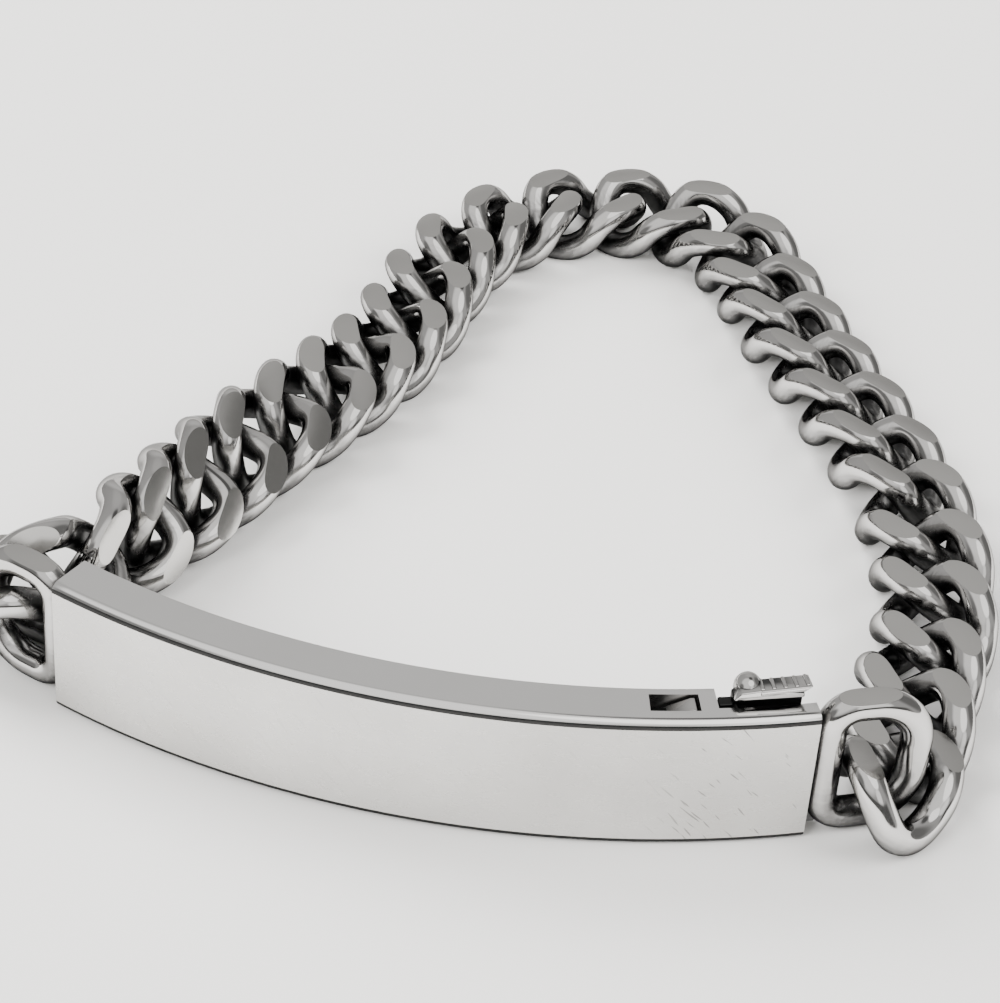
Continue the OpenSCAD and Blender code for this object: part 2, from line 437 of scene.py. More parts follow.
@dataclass
class Chain:
    """The whole chain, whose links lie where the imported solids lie."""

    link: CurbLink = field(default_factory=CurbLink)
    count: int = 28

    @staticmethod
    def lie_of(node: str) -> Matrix:
        """Works out the place and turn of a link's solid.

        A link looks the same after a half turn about any of its own axes, so the spread of its corners
        gives its axes.

        Args:
            node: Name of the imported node.

        Returns:
            The matrix that brings a link from the origin, in millimetres.
        """
        spots = {tuple(round(c / MM, 3) for c in vertex.co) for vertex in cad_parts[node].data.vertices}
        spread = np.array(sorted(spots))
        centre = spread.mean(axis=0)
        axes = np.linalg.eigh(np.cov((spread - centre).T))[1]
        along, up = Vector(axes[:, 2]), Vector(axes[:, 0])
        up *= copysign(1, up.z)
        across = up.cross(along)
        return Matrix.Translation(centre) @ Matrix((along, across, up)).transposed().to_4x4()

    def build(self, materials: Sequence[Material]) -> list[Piece]:
        """Builds every link and lays it in its place, no lower than the surface.

        Args:
            materials: Materials of the wire, its flats and the painted dark rims round its flats.

        Returns:
            The links.
        """
        pieces = []
        for number in range(1, self.count + 1):
            node = f"link_{number:02d}"
            mesh = self.link.build()
            mesh.transform(self.lie_of(node))
            lowest = min(vertex.co.z for vertex in mesh.verts)
            bmesh.ops.translate(mesh, vec=(0, 0, max(0, -lowest)), verts=mesh.verts)
            piece = finish_mesh(f"{node}_filed", mesh, materials)
            pieces.append(dress(piece, Body.BRACELET, Slot.LINK, node))
        return pieces


@dataclass(frozen=True)
class PlateCurve:
    """The plate's curve, on which the plate and the clasp are bent from straight pieces.

    In the straight state x runs along the plate from its right end, y backwards from the outer face and
    z up.
    """

    centre: tuple[float, float] = (5.58, 23.62)
    radius: float = 61.0
    height: float = 9.8
    thickness: float = 3.1
    left: float = radians(-31.3)
    right: float = radians(14.5)

    @property
    def length(self) -> float:
        """Length of the plate along its outer face."""
        return (self.right - self.left) * self.radius

    def bend(self, mesh: Mesh) -> None:
        """Carries a straight mesh onto the curve.

        Args:
            mesh: The straight mesh.
        """
        for vertex in mesh.verts:
            turn = self.right + vertex.co.x / self.radius
            reach = self.radius - vertex.co.y
            vertex.co = Vector((self.centre[0] + reach * sin(turn), self.centre[1] - reach * cos(turn),
                                vertex.co.z))

    def end_lie(self, left: bool) -> Matrix:
        """Finds the lie of an end, whose own x points away from the plate.

        Args:
            left: Whether it is the left end.

        Returns:
            The matrix from the end's own frame to the plate's place.
        """
        turn = self.left if left else self.right
        reach = self.radius - self.thickness / 2
        place = (self.centre[0] + reach * sin(turn), self.centre[1] - reach * cos(turn), 0)
        flip = pi if left else 0
        return Matrix.Translation(place) @ Matrix.Rotation(turn + flip, 4, "Z")


@dataclass
class Plate:
    """The hollow curved plate with a window and a notch in its top edge."""

    curve: PlateCurve = field(default_factory=PlateCurve)
    wall: float = 0.55
    cap: float = 1.2
    window: tuple[float, float] = (-10.3, -7.2)
    window_back: float = 0.5
    window_width: float = 1.5
    window_depth: float = 1.5
    notch: float = 6.1
    notch_depth: float = 2.2
    strip: float = 1.3
    soft_edge: float = 0.62
    foot_edge: float = 0.5
    fine_edge: float = 0.12
    dark_band_angle: float = radians(27)
    foot_angle: float = radians(4)
    slice_pitch: float = 1.0

    def build(self, materials: Sequence[Material]) -> Piece:
        """Builds the plate straight, softens its edges and bends it.

        Args:
            materials: Materials of the face, the bright edge and the painted dark bands.

        Returns:
            The dressed plate.
        """
        length, height, thick = self.curve.length, self.curve.height, self.curve.thickness
        whole = box((-length, 0, 0), (0, thick, height))
        soften(whole, self.soft_edge, 16, chosen=self.front_edge_at(height))
        soften(whole, self.foot_edge, 4, chosen=self.front_edge_at(0))
        self.mark_edges(whole)
        wall, rear = self.wall, thick - self.window_back
        whole = cut_away(whole, [
            box((-length + self.cap, wall, wall), (CUT_PAST, thick - wall, height - wall)),
            box((self.window[0], rear - self.window_width, height - self.window_depth),
                (self.window[1], rear, height + CUT_PAST)),
            box((-self.notch, self.strip, height - self.notch_depth),
                (CUT_PAST, thick + CUT_PAST, height + CUT_PAST)),
        ])
        soften(whole, self.fine_edge, 3, above=radians(50))
        slices(whole, -length, 0, self.slice_pitch)
        self.curve.bend(whole)
        piece = finish_mesh("plate_satin", whole, materials, weighted=True)
        return dress(piece, Body.BRACELET, Slot.PLATE, "plate")

    @staticmethod
    def front_edge_at(height: float) -> Callable[[Edge], bool]:
        """Makes a test for the front edge at a height."""
        return lambda edge: all(v.co.y < NEAR and abs(v.co.z - height) < NEAR for v in edge.verts)

    def mark_edges(self, mesh: Mesh) -> None:
        """Marks the bright top with its soft front edge, and paints dark bands above and below the face: a
        painted dark reflection on the lower part of the top rounding, and painted shade on the rounded foot.

        Args:
            mesh: The plain block with its front edges rounded.
        """
        mesh.normal_update()
        for face in mesh.faces:
            forward, rise = face.normal.y < -LEAN, face.normal.z
            # Forward faces low on the top rounding get a painted dark reflection, and those on the rounded
            # foot get painted shade.
            if forward and rise > LEAN:
                face.material_index = PlateZone.PAINTED_DARK if rise < sin(self.dark_band_angle) else PlateZone.BRIGHT
            elif forward and rise < -sin(self.foot_angle):
                face.material_index = PlateZone.PAINTED_DARK
            elif rise > 1 - LEAN:
                face.material_index = PlateZone.BRIGHT


@dataclass(frozen=True)
class EndRing:
    """A ring of round wire, bent from straights and quarter turns, against an end of the plate."""

    half_height: float
    forward: float
    curve: PlateCurve = field(default_factory=PlateCurve)
    wire: Wire = Wire(2.0, rings=160)
    bar: float = 0.9
    reach: float = 6.5
    corner: float = 1.6
    turn: float = 3.2
    lift: float = 0.05
    filed: float = 0.4
    flat_edge: float = 0.05

    @staticmethod
    def quarter(x: float, z: float, radius: float, start: float) -> Stretch:
        """Makes a quarter turn that runs clockwise.

        Args:
            x: Place of its centre away from the plate.
            z: Height of its centre.
            radius: Its radius.
            start: The angle that it starts at.

        Returns:
            Its length, and its point at a distance along it.
        """
        def spot(run: float) -> Vector:
            """Finds a point of the turn."""
            angle = start - run / radius
            return Vector((x + radius * cos(angle), 0, z + radius * sin(angle)))
        return radius * pi / 2, spot

    @property
    def stretches(self) -> list[Stretch]:
        """The upper half of the ring's centre line, from the bar's middle to the far side's middle.

        Returns:
            Each stretch's length and its point at a distance along it.
        """
        near, far = self.bar + self.corner, self.reach - self.turn
        low, high = self.half_height - self.corner, self.half_height - self.turn
        return [
            (low, lambda run: Vector((self.bar, 0, run))),
            self.quarter(near, low, self.corner, pi),
            (far - near, lambda run: Vector((near + run, 0, self.half_height))),
            self.quarter(far, high, self.turn, pi / 2),
            (high, lambda run: Vector((self.reach, 0, high - run))),
        ]

    def path(self, turn: float) -> Vector:
        """Finds a point of the ring's centre line.

        Args:
            turn: How far round the ring, in radians from the middle of the bar.

        Returns:
            The point.
        """
        stretches = self.stretches
        half = sum(length for length, _ in stretches)
        share = (turn / pi) % 2
        run = half * min(share, 2 - share)
        for length, spot in stretches:
            if run <= length:
                break
            run -= length
        point = spot(min(run, length))
        return point if share <= 1 else Vector((point.x, 0, -point.z))

    def build(self, name: str, left: bool, gap: float, materials: Sequence[Material]) -> Piece:
        """Builds the ring at one end of the plate.

        Args:
            name: Name of the piece.
            left: Whether the ring is at the plate's left end.
            gap: Space between the plate's end and the ring's own end of the clasp.
            materials: Materials of the wire, its flat and the painted dark rim round its flat.

        Returns:
            The finished ring.
        """
        mesh = self.wire.loop(self.path, lambda along: Vector((0, 1, 0)).cross(along))
        outer = self.half_height + self.wire.diameter / 2
        file_flat(mesh, outer - self.filed, 1, self.flat_edge)
        lie = self.curve.end_lie(left) @ Matrix.Translation((gap, -self.forward, outer + self.lift))
        mesh.transform(lie)
        return finish_mesh(name, mesh, materials)


@dataclass
class Tongue:
    """The folded tongue in the plate's box, with its end flange and the cheeks that hold the pin."""

    plate: Plate = field(default_factory=Plate)
    gap: float = 0.12
    flange: float = 0.7
    flange_drop: float = 1.6
    block_height: float = 2.6
    cheek: float = 0.42
    cheek_length: float = 2.2
    pin_at: float = 12.5
    edge: float = 0.08
    slice_pitch: float = 1.5

    def build(self, materials: Sequence[Material]) -> Piece:
        """Builds the tongue's body.

        Args:
            materials: The tongue's material.

        Returns:
            The finished body.
        """
        curve = self.plate.curve
        front = self.plate.wall + self.gap
        back = curve.thickness - front
        top = curve.height - self.flange_drop
        end = -self.pin_at - self.cheek_length / 2
        parts = [
            box((self.gap, front, front), (self.gap + self.flange, back, top)),
            box((end, front, front), (self.gap + self.flange / 2, back, front + self.block_height)),
        ]
        for depth in (front, back - self.cheek):
            parts.append(box((end, depth, front),
                             (end + self.cheek_length, depth + self.cheek, curve.height - front)))
        for part in parts:
            soften(part, self.edge, 2)
            slices(part, end, self.gap, self.slice_pitch)
        whole = merge(parts)
        curve.bend(whole)
        return finish_mesh("tongue_body", whole, materials, weighted=True)


@dataclass
class SpringLever:
    """The leaf on its pin, the barb in the window and the ribbed thumb lever with its small ball.

    Places along the plate are measured from its right end, heights of the lever from the plate's top edge,
    and depths from its outer face.
    """

    plate: Plate = field(default_factory=Plate)
    pin_at: float = 12.5
    pin_z: float = 8.1
    eye: float = 1.8
    eye_width: float = 0.66
    leaf_gap: float = 0.2
    leaf: float = 0.7
    leaf_side: float = 0.3
    leaf_start: float = 11.2
    ramp_foot: float = 5.4
    ramp_tip: float = 4.2
    ramp_crest: float = 5.0
    ramp_top: float = 5.5
    barb_at: float = 7.4
    barb_length: float = 2.6
    barb_width: float = 1.2
    barb_back: float = 1.25
    barb_sink: float = 0.35
    barb_tip: float = 0.3
    start: float = 5.2
    slope: float = 0.4
    end: float = 0.8
    low: float = 0.95
    high: float = 1.1
    step: float = 0.4
    step_in: float = 0.2
    neck_start: float = 6.0
    neck_depth: float = 1.2
    clear: float = 0.2
    forward: float = 0.12
    back: float = 2.5
    thumb_start: float = 3.6
    thumb_end: float = 0.3
    thumb: float = 0.35
    thumb_rise: float = 0.04
    overhang: float = 0.05
    ribs: int = 5
    rib: float = 0.3
    rib_sink: float = 0.05
    rib_edge: float = 0.06
    ball: float = 1.8
    ball_at: float = 4.15
    ball_back: float = 2.5
    ball_up: float = 0.6
    lap: float = 0.1
    edge: float = 0.09

    @property
    def top(self) -> float:
        """Height of the plate's top edge."""
        return self.plate.curve.height

    @property
    def leaf_top(self) -> float:
        """Height of the leaf's top."""
        return self.top - self.plate.wall - self.leaf_gap

    @property
    def front(self) -> float:
        """Depth of the lever's front, clear of the plate's strip."""
        return self.plate.strip + self.clear

    def thumb_z(self, s: float) -> float:
        """Height of the thumb plate's top at a distance from the plate's end."""
        return self.top + self.high + (self.thumb_start - s) * self.thumb_rise

    def spring_leaf(self) -> Mesh:
        """Builds the leaf, which runs from the pin and ramps up into the block.

        Returns:
            The closed mesh.
        """
        low, side = self.leaf_top - self.leaf, self.plate.wall + self.leaf_side
        return slab([(-self.pin_at, low), (-self.ramp_foot, low), (-self.ramp_tip, self.top - self.lap),
                     (-self.ramp_crest, self.top + self.lap), (-self.ramp_top, self.leaf_top),
                     (-self.leaf_start, self.leaf_top)], side, self.plate.curve.thickness - side)

    def barb(self) -> Mesh:
        """Builds the barb that catches in the window.

        Returns:
            The closed mesh.
        """
        foot, tip = self.leaf_top - self.barb_sink, self.top - self.lap
        middle = self.plate.curve.thickness - self.barb_back
        return slab([(-self.barb_at - self.barb_length, foot), (-self.barb_at, foot),
                     (-self.barb_at, tip), (-self.barb_at - self.barb_tip, tip)],
                    middle - self.barb_width / 2, middle + self.barb_width / 2)

    def block(self) -> Mesh:
        """Builds the block under the thumb plate.

        Returns:
            The closed mesh.
        """
        foot, crest = self.top + self.step, self.top + self.high
        return slab([(-self.start, foot), (-self.end, foot), (-self.end, crest - self.thumb),
                     (-self.thumb_start, crest), (-self.start + self.slope, self.top + self.low)],
                    self.front - self.forward, self.back)

    def neck(self) -> Mesh:
        """Builds the neck, painted dark as shade, which joins the block to the leaf inside the notch.

        Returns:
            The closed mesh.
        """
        deep, upper, lower = self.top - self.neck_depth, self.top + self.step + self.lap, self.top - self.lap
        return slab([(-self.neck_start, deep), (-self.end, deep), (-self.end, upper), (-self.start, upper),
                     (-self.start, lower), (-self.neck_start, lower)], self.front + self.step_in, self.back)

    def thumb_plate(self) -> Mesh:
        """Builds the thumb plate.

        Returns:
            The closed mesh.
        """
        rear, tip = self.thumb_z(self.thumb_start), self.thumb_z(self.thumb_end)
        return slab([(-self.thumb_start, rear - self.thumb), (-self.end, self.thumb_z(self.end) - self.thumb),
                     (-self.thumb_end, tip), (-self.thumb_start, rear)],
                    self.front - self.forward - self.overhang, self.back + self.overhang)

    def rib_rods(self) -> list[Mesh]:
        """Builds the ribs across the thumb plate.

        Returns:
            One closed mesh for each rib.
        """
        rods = []
        pitch = (self.thumb_start - self.thumb_end - 1.5 * self.rib) / (self.ribs - 1)
        for number in range(self.ribs):
            s = self.thumb_end + self.rib + number * pitch
            middle = (-s, (self.back + self.front) / 2, self.thumb_z(s) - self.rib_sink)
            rods.append(rod(self.rib, self.back - self.front, middle, 20, self.rib_edge))
        return rods

    def small_ball(self) -> Mesh:
        """Builds the ball behind the block.

        Returns:
            The closed mesh.
        """
        mesh = bmesh.new()
        bmesh.ops.create_icosphere(mesh, subdivisions=4, radius=self.ball / 2)
        middle = (-self.ball_at, self.ball_back, self.top + self.ball_up)
        bmesh.ops.translate(mesh, vec=middle, verts=mesh.verts)
        return mesh

    def build(self, materials: Sequence[Material]) -> Piece:
        """Builds the lever at rest.

        Args:
            materials: Materials of the metal and of the painted shade on its inside.

        Returns:
            The finished lever.
        """
        leaf, neck = self.spring_leaf(), self.neck()
        parts = [leaf, self.barb(), self.block(), neck, self.thumb_plate()]
        for part in parts:
            soften(part, self.edge, 3)
        # The leaf and the neck sit in shade inside the notch, so they take a near-black painted shade.
        for part in (leaf, neck):
            for face in part.faces:
                face.material_index = LeverZone.PAINTED_SHADE
        middle = (-self.pin_at, self.plate.curve.thickness / 2, self.pin_z)
        eye = rod(self.eye, self.eye_width, middle, 32)
        whole = merge([*parts, *self.rib_rods(), self.small_ball(), eye])
        self.plate.curve.bend(whole)
        return finish_mesh("spring_lever_polished", whole, materials)


@dataclass(frozen=True)
class PaintedShadeAndTarnish:
    """Painted shade with some tarnish, which darkens metal that is hidden from the open air, by nearby parts
    or by the floor close under it.
    """

    reach: float = 3.0
    floor_reach: float = 9.0
    floor_weight: float = 0.9
    rays: int = 16
    lift: float = 0.01

    @property
    def fan(self) -> list[Vector]:
        """Directions spread evenly over a half sphere round +Z.

        Returns:
            The directions, denser towards +Z.
        """
        spread = []
        for number in range(self.rays):
            across = ((number + 0.5) / self.rays) ** 0.5
            turn = number * pi * (3 - 5 ** 0.5)
            spread.append(Vector((across * cos(turn), across * sin(turn), (1 - across * across) ** 0.5)))
        return spread

    def settle(self, pieces: Sequence[Piece]) -> None:
        """Writes how hidden each vertex is to the recess attribute of every piece.

        Args:
            pieces: The pieces, all at the origin.
        """
        corners: list[Vector] = []
        faces: list[list[int]] = []
        for piece in pieces:
            first = len(corners)
            corners += [vertex.co for vertex in piece.data.vertices]
            faces += [[first + corner for corner in face.vertices] for face in piece.data.polygons]
        shape = BVHTree.FromPolygons(corners, faces)
        reach, lift, floor_reach = self.reach * MM, self.lift * MM, self.floor_reach * MM
        fan = self.fan
        for piece in pieces:
            values = []
            for vertex in piece.data.vertices:
                turned = vertex.normal.to_track_quat("Z", "Y").to_matrix()
                start = vertex.co + vertex.normal * lift
                hidden = 0.0
                for ray in fan:
                    ray = turned @ ray
                    if shape.ray_cast(start, ray, reach)[0] is not None:
                        hidden += 1
                    # Rays that meet the floor near by count as partly hidden; the darkening they give is
                    # painted shade from the floor under the metal.
                    elif start.z + ray.z * floor_reach < 0:
                        hidden += self.floor_weight
                values.append(hidden / self.rays)
            layer = piece.data.attributes.new(RECESS, "FLOAT", "POINT")
            layer.data.foreach_set("value", values)


@dataclass(frozen=True)
class NodePen:
    """Draws nodes into a shader tree."""

    tree: bpy.types.ShaderNodeTree

    def add(self, kind: str, inputs: dict[str | int, object], **options: object) -> bpy.types.Node:
        """Adds a node.

        Args:
            kind: The node's type, without its prefix.
            inputs: A value, or another node's output, for each input that is set.
            options: The node's own settings.

        Returns:
            The new node.
        """
        node = self.tree.nodes.new("ShaderNode" + kind)
        for name, value in options.items():
            setattr(node, name, value)
        for name, source in inputs.items():
            self.fill(node, name, source)
        return node

    def fill(self, node: bpy.types.Node, name: str | int, source: object) -> None:
        """Sets an input of a node, or links another node's output to it.

        Args:
            node: The node.
            name: Name or number of the input.
            source: The value or the output.
        """
        if isinstance(source, Socket):
            self.tree.links.new(source, node.inputs[name])
        else:
            node.inputs[name].default_value = source

    def math(self, operation: str, *parts: Socket | float) -> Socket:
        """Works out a number from others."""
        return self.add("Math", dict(enumerate(parts)), operation=operation).outputs[0]

    def vector(self, operation: str, first: Socket, second: Socket | Sequence[float]) -> bpy.types.Node:
        """Works out a vector or a number from two vectors."""
        return self.add("VectorMath", {0: first, 1: second}, operation=operation)

    def ramp(self, value: Socket, start: float, end: float, low: float = 0.0, high: float = 1.0,
             how: str = "SMOOTHSTEP") -> Socket:
        """Carries a value from one range to another.

        Args:
            value: The value.
            start: Where the first range starts.
            end: Where it ends.
            low: The result at the start.
            high: The result at the end.
            how: The curve between them.

        Returns:
            The result.
        """
        node = self.add("MapRange", {"Value": value, "From Min": start, "From Max": end, "To Min": low,
                                     "To Max": high}, interpolation_type=how)
        return node.outputs["Result"]

    def colour(self, share: Socket, first: Socket | Sequence[float], second: Sequence[float]) -> Socket:
        """Mixes two colours.

        Args:
            share: How much of the second there is.
            first: The first colour, or a node's output.
            second: The second colour.

        Returns:
            The mixed colour.
        """
        first = first if isinstance(first, Socket) else (*first, 1)
        node = self.add("Mix", {"A": first, "B": (*second, 1), "Factor": share}, data_type="RGBA")
        return node.outputs["Result"]

    def level(self, share: Socket, first: Socket | float, second: float) -> Socket:
        """Mixes two numbers."""
        return self.add("Mix", {"A": first, "B": second, "Factor": share}).outputs["Result"]


@dataclass(frozen=True)
class Wear:
    """Fine wear on metal: smudges, grain, and slanting scratches that gather at one end of the plate."""

    smudge_detail: float = 4.0
    grain_detail: float = 6.0
    grain_roughness: float = 0.7
    grain_height: float = 0.35
    scratch_turns: tuple[float, ...] = (radians(-44), radians(-54))
    scratch_scale: tuple[float, float, float] = (380, 40, 4200)
    scratch_share: tuple[float, float] = (0.715, 0.755)
    worn: tuple[float, float] = (10 * MM, 14 * MM)
    unworn_share: float = 0.1

    def scratches(self, pen: NodePen, place: Socket) -> Socket:
        """Draws sparse thin lines that slant across the plate's right end.

        Args:
            pen: The pen of the group's tree.
            place: Object coordinates.

        Returns:
            A mask that is 1 on the lines.
        """
        lines = []
        for turn in self.scratch_turns:
            lie = pen.add("VectorRotate", {"Angle": turn, "Vector": place}, rotation_type="Y_AXIS")
            thin = pen.vector("MULTIPLY", lie.outputs["Vector"], self.scratch_scale).outputs[0]
            streak = pen.add("TexNoise", {"Scale": 1.0, "Detail": 1, "Vector": thin})
            lines.append(pen.ramp(streak.outputs["Fac"], *self.scratch_share))
        along = pen.add("SeparateXYZ", {0: place}).outputs["X"]
        worn = pen.ramp(along, *self.worn, self.unworn_share)
        return pen.math("MULTIPLY", pen.math("MAXIMUM", *lines), worn)

    def build(self) -> bpy.types.ShaderNodeTree:
        """Builds the group that all finishes share.

        Returns:
            A group that puts out a smudge mask, a fine grain mask, a mask of scratches and a height.
        """
        group = bpy.data.node_groups.new("metal_wear", "ShaderNodeTree")
        for name, kind, value in (("Smudge scale", "NodeSocketFloat", 180.0),
                                  ("Grain scale", "NodeSocketFloat", 900.0),
                                  ("Stretch", "NodeSocketVector", (1.0, 1.0, 1.0)),
                                  ("Scratches", "NodeSocketFloat", 0.0)):
            socket = group.interface.new_socket(name, in_out="INPUT", socket_type=kind)
            socket.default_value = value
        for name in ("Smudge", "Grain", "Scratch", "Height"):
            group.interface.new_socket(name, in_out="OUTPUT", socket_type="NodeSocketFloat")
        pen = NodePen(group)
        given = group.nodes.new("NodeGroupInput").outputs
        place = pen.add("TexCoord", {}).outputs["Object"]
        smudge = pen.add("TexNoise", {"Detail": self.smudge_detail, "Vector": place,
                                      "Scale": given["Smudge scale"]}).outputs["Fac"]
        stretched = pen.vector("MULTIPLY", place, given["Stretch"]).outputs[0]
        grain = pen.add("TexNoise", {"Detail": self.grain_detail, "Roughness": self.grain_roughness,
                                     "Vector": stretched, "Scale": given["Grain scale"]}).outputs["Fac"]
        scratch = pen.math("MULTIPLY", self.scratches(pen, place), given["Scratches"])
        height = pen.math("SUBTRACT", pen.math("MULTIPLY_ADD", grain, self.grain_height, smudge), scratch)
        taken = group.nodes.new("NodeGroupOutput")
        for name, result in (("Smudge", smudge), ("Grain", grain), ("Scratch", scratch), ("Height", height)):
            pen.fill(taken, name, result)
        return group


@dataclass(frozen=True)
class MetalFinish:
    """One finish of the bracelet's metal.

    The metal goes from light to dark with its smudges, and towards a painted shade colour, with some tarnish,
    where the recess attribute rises through the hidden range. Its roughness follows the grain.
    """

    name: str
    light: Colour
    dark: Colour
    shade_and_tarnish: Colour
    hidden: tuple[float, float]
    roughness: tuple[float, float]
    smudge_scale: float = 400
    grain_scale: float = 1500
    stretch: tuple[float, float, float] = (1, 1, 1)
    bump: float = 0.1
    bump_height: float = 0.02 * MM
    scratches: float = 0.0
    scratch_tone: float = 0.6
    rim: float = 0.6
    grain_range: tuple[float, float] = (0.3, 0.7)
    hidden_roughness: float = 0.25

    def build(self, wear: bpy.types.ShaderNodeTree) -> Material:
        """Builds the material.

        Args:
            wear: The shared wear group.

        Returns:
            The new material.
        """
        material = bpy.data.materials.new(self.name)
        material.use_nodes = True
        pen = NodePen(material.node_tree)
        shader = material.node_tree.nodes["Principled BSDF"]
        group = pen.tree.nodes.new("ShaderNodeGroup")
        group.node_tree = wear
        for name, value in (("Smudge scale", self.smudge_scale), ("Grain scale", self.grain_scale),
                            ("Stretch", self.stretch), ("Scratches", self.scratches)):
            pen.fill(group, name, value)
        recess = pen.add("Attribute", {}, attribute_name=RECESS).outputs["Fac"]
        # Painted shade, with some tarnish: the base colour goes towards a dark colour where the recess
        # attribute says that the metal is hidden.
        shade_and_tarnish_share = pen.ramp(recess, *self.hidden)
        metal = pen.colour(group.outputs["Smudge"], self.light, self.dark)
        metal = pen.colour(group.outputs["Scratch"], metal, [self.scratch_tone * part for part in self.dark])
        rough = pen.ramp(group.outputs["Grain"], *self.grain_range, *self.roughness, how="LINEAR")
        bump = pen.add("Bump", {"Strength": self.bump, "Distance": self.bump_height,
                                "Height": group.outputs["Height"]})
        for name, value in (("Metallic", 1.0), ("Specular Tint", (self.rim, self.rim, self.rim, 1)),
                            ("Base Color", pen.colour(shade_and_tarnish_share, metal, self.shade_and_tarnish)),
                            ("Roughness", pen.math("MULTIPLY_ADD", shade_and_tarnish_share, self.hidden_roughness, rough)),
                            ("Normal", bump.outputs["Normal"])):
            pen.fill(shader, name, value)
        return material


POLISHED = MetalFinish("polished_wire", light=(0.70, 0.69, 0.68), dark=(0.60, 0.59, 0.58),
                       shade_and_tarnish=(0.10, 0.10, 0.10), hidden=(0.12, 0.72), roughness=(0.05, 0.10),
                       smudge_scale=350, bump=0.12, rim=0.25)
FILED = MetalFinish("filed_flats", light=(0.68, 0.67, 0.65), dark=(0.62, 0.61, 0.59),
                    shade_and_tarnish=(0.12, 0.12, 0.12), hidden=(0.12, 0.60), roughness=(0.16, 0.22),
                    grain_scale=2500, stretch=(1, 1, 0.2), bump=0.06, rim=0.2)
# Dark metal for the rounded rims of the flats: a painted dark reflection that outlines each flat.
PAINTED_RIM = MetalFinish("painted_dark_rim", light=(0.30, 0.29, 0.28), dark=(0.20, 0.19, 0.19),
                   shade_and_tarnish=(0.05, 0.05, 0.05), hidden=(0.30, 0.80), roughness=(0.25, 0.35), grain_scale=2500)
SATIN = MetalFinish("satin_plate", light=(0.86, 0.85, 0.83), dark=(0.50, 0.49, 0.475),
                    shade_and_tarnish=(0.30, 0.30, 0.30), hidden=(0.60, 0.98), roughness=(0.24, 0.34), smudge_scale=75,
                    grain_scale=2200, stretch=(0.2, 1, 1), scratches=1.0, rim=0.9)
BRIGHT = MetalFinish("bright_edge", light=(0.96, 0.95, 0.94), dark=(0.90, 0.89, 0.88),
                     shade_and_tarnish=(0.15, 0.15, 0.15), hidden=(0.50, 0.90), roughness=(0.08, 0.14),
                     smudge_scale=200, bump=0.08)
# Near-black metal: a painted dark reflection along the plate's top rounding, and painted shade on its foot
# and on the lever's leaf and neck.
PAINTED_DARK = MetalFinish("painted_shade_and_dark_reflection", light=(0.05, 0.05, 0.05), dark=(0.03, 0.03, 0.03),
                   shade_and_tarnish=(0.02, 0.02, 0.02), hidden=(0.30, 0.90), roughness=(0.25, 0.35))


@dataclass(frozen=True)
class RoomPatch:
    """A round soft patch of the room that the metal mirrors."""

    azimuth: float
    elevation: float
    core: float
    edge: float
    level: float

    @property
    def axis(self) -> Vector:
        """Direction of the patch's middle."""
        turn, rise = radians(self.azimuth), radians(self.elevation)
        return Vector((cos(turn) * cos(rise), sin(turn) * cos(rise), sin(rise)))


ROOM = (
    RoomPatch(azimuth=245, elevation=58, core=30, edge=50, level=1.15),
    RoomPatch(azimuth=45, elevation=70, core=6, edge=18, level=0.12),
    RoomPatch(azimuth=95, elevation=0, core=14, edge=30, level=0.95),
    RoomPatch(azimuth=88, elevation=44, core=10, edge=26, level=0.62),
    RoomPatch(azimuth=20, elevation=22, core=14, edge=34, level=0.20),
    RoomPatch(azimuth=210, elevation=18, core=10, edge=24, level=0.25),
    RoomPatch(azimuth=312, elevation=58, core=21, edge=25, level=2.0),
    RoomPatch(azimuth=305, elevation=22, core=10, edge=18, level=1.4),
)


@dataclass(frozen=True)
class Softbox:
    """A square light that faces the bracelet and that the metal doesn't mirror, in metres and watts."""

    name: str
    place: tuple[float, float, float]
    power: float
    side: float = 0.5

    def hang(self) -> None:
        """Hangs the light in its place."""
        lamp = bpy.data.lights.new(self.name, "AREA")
        lamp.shape = "SQUARE"
        lamp.size = self.side
        lamp.energy = self.power
        holder = bpy.data.objects.new(self.name, lamp)
        holder.location = self.place
        holder.rotation_euler = (-Vector(self.place)).to_track_quat("-Z", "Y").to_euler()
        holder.visible_glossy = False
        bpy.context.scene.collection.objects.link(holder)


SOFTBOXES = (
    Softbox("back_softbox", (-0.48, 0.42, 0.52), 13.0),
    Softbox("left_softbox", (-0.50, -0.45, 0.50), 8.5),
    Softbox("right_softbox", (0.62, -0.05, 0.50), 7.5),
)


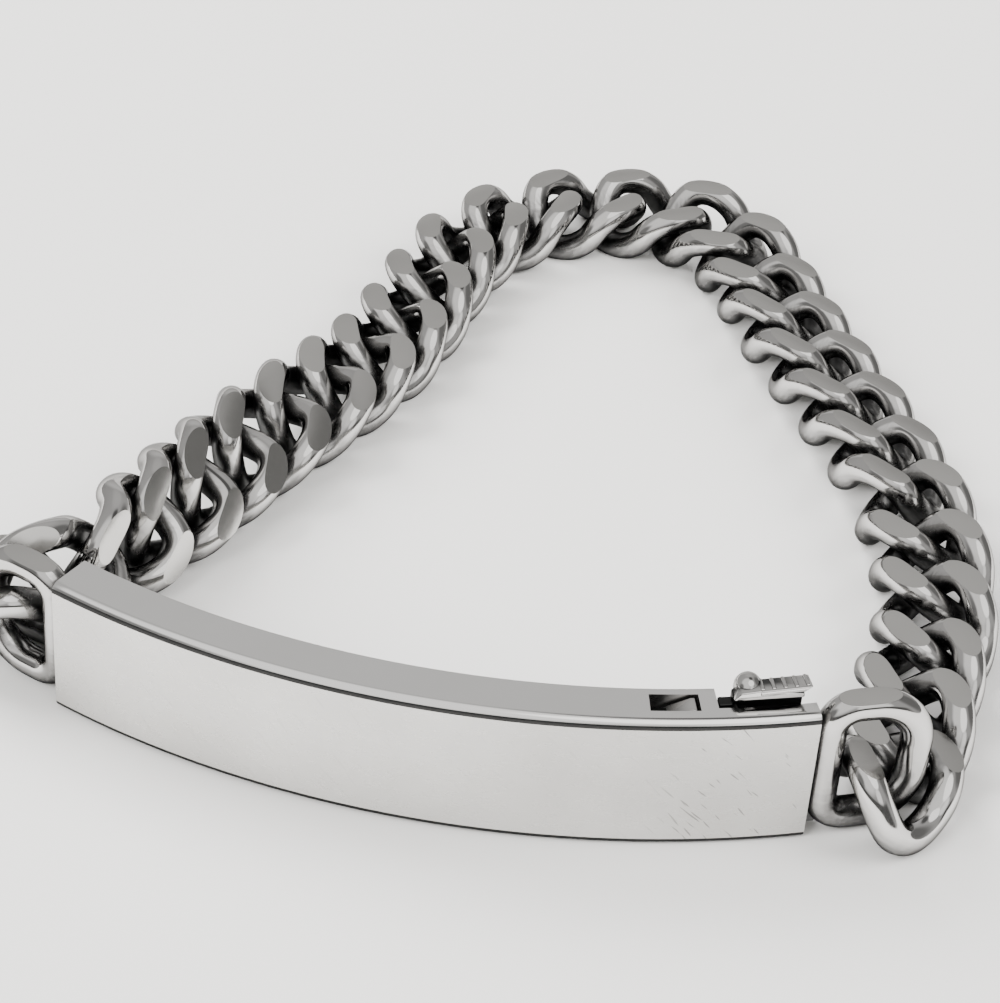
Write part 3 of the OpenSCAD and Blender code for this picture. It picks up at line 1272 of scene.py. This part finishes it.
@dataclass
class Studio:
    """The pale surface, the soft light and the camera of the photograph."""

    floor_reach: float = 1.5
    floor_colour: Colour = (0.80, 0.79, 0.77)
    floor_roughness: float = 0.7
    floor_gloss: float = 0.2
    eye: tuple[float, float, float] = (0.84, -164.93, 119.9)
    target: tuple[float, float, float] = (0.84, -3.33, 0.0)
    roll: float = radians(4.28)
    focal_pixels: float = 2868.0
    frame_pixels: float = 1003.0
    film: float = 36.0
    room_level: float = 0.51
    room_tint: Colour = (1.0, 0.99, 0.97)
    horizon_level: float = 0.12
    horizon_band: tuple[float, float] = (radians(14), radians(9))
    horizon_front: tuple[float, float] = (0.2, 0.5)
    backdrop_level: float = 0.80

    def lay_floor(self) -> None:
        """Lays the pale surface."""
        mesh = bmesh.new()
        bmesh.ops.create_grid(mesh, x_segments=8, y_segments=8, size=self.floor_reach)
        data = bpy.data.meshes.new("floor")
        mesh.to_mesh(data)
        mesh.free()
        floor = bpy.data.objects.new("floor", data)
        bpy.context.scene.collection.objects.link(floor)
        material = bpy.data.materials.new("pale_surface")
        material.use_nodes = True
        shader = material.node_tree.nodes["Principled BSDF"]
        shader.inputs["Base Color"].default_value = (*self.floor_colour, 1)
        shader.inputs["Roughness"].default_value = self.floor_roughness
        shader.inputs["Specular IOR Level"].default_value = self.floor_gloss
        data.materials.append(material)

    def set_room(self) -> None:
        """Sets the room that the metal mirrors, from soft patches and a dark front horizon."""
        world = bpy.data.worlds.new("room")
        world.use_nodes = True
        pen = NodePen(world.node_tree)
        place = pen.add("TexCoord", {}).outputs["Generated"]

        def facing(axis: Sequence[float], low: float, high: float) -> Socket:
            """Rises from 0 to 1 as a direction's share along an axis rises from low to high."""
            return pen.ramp(pen.vector("DOT_PRODUCT", place, axis).outputs["Value"], low, high)

        light: Socket | float = self.room_level
        for patch in ROOM:
            inside = facing(patch.axis, cos(radians(patch.edge)), cos(radians(patch.core)))
            light = pen.level(inside, light, patch.level)
        low = facing((0, 0, -1), *(-sin(angle) for angle in self.horizon_band))
        front = facing((0, -1, 0), *self.horizon_front)
        light = pen.level(pen.math("MULTIPLY", low, front), light, self.horizon_level)
        seen = pen.add("LightPath", {}).outputs["Is Camera Ray"]
        back = world.node_tree.nodes["Background"]
        pen.fill(back, "Strength", pen.level(seen, light, self.backdrop_level))
        pen.fill(back, "Color", (*self.room_tint, 1))
        bpy.context.scene.world = world

    def set_camera(self) -> None:
        """Sets the camera at the photograph's place."""
        lens = bpy.data.cameras.new("camera")
        lens.sensor_width = self.film
        lens.lens = self.film * self.focal_pixels / self.frame_pixels
        lens.clip_start = 0.01
        holder = bpy.data.objects.new("camera", lens)
        eye, target = Vector(self.eye) * MM, Vector(self.target) * MM
        turn = (target - eye).to_track_quat("-Z", "Y").to_matrix().to_4x4()
        holder.matrix_world = Matrix.Translation(eye) @ turn @ Matrix.Rotation(self.roll, 4, "Z")
        bpy.context.scene.collection.objects.link(holder)
        bpy.context.scene.camera = holder

    def build(self) -> None:
        """Builds the whole studio."""
        self.lay_floor()
        self.set_room()
        for softbox in SOFTBOXES:
            softbox.hang()
        self.set_camera()


def main() -> None:
    """Builds the bracelet and its studio."""
    logging.basicConfig(level=logging.INFO, format="%(name)s %(message)s")
    wear = Wear().build()
    polished, filed, painted_rim_metal, satin, bright, painted_dark_metal = (
        finish.build(wear) for finish in (POLISHED, FILED, PAINTED_RIM, SATIN, BRIGHT, PAINTED_DARK))
    wire_finishes = [polished, filed, painted_rim_metal]
    plate = Plate()
    left_ring, right_ring = EndRing(half_height=3.9, forward=0.0), EndRing(half_height=4.3, forward=0.65)
    tongue = Tongue(plate)
    pieces = [
        *Chain().build(wire_finishes),
        plate.build([satin, bright, painted_dark_metal]),
        dress(left_ring.build("left_ring", True, 0.0, wire_finishes), Body.BRACELET, Slot.PLATE, "plate"),
        dress(right_ring.build("right_ring", False, tongue.gap, wire_finishes), Body.BRACELET, Slot.CLASP,
              "tongue"),
        dress(tongue.build([polished]), Body.BRACELET, Slot.CLASP, "tongue"),
        dress(SpringLever(plate).build([polished, painted_dark_metal]), Body.LEVER, Slot.CLASP, "spring_lever"),
    ]
    # Writes the recess attribute, which drives the painted shade with some tarnish in every finish.
    PaintedShadeAndTarnish().settle(pieces)
    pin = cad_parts["lever_pin"].data.materials
    pin.clear()
    pin.append(polished)
    Studio().build()


if __name__ == "__main__":
    main()
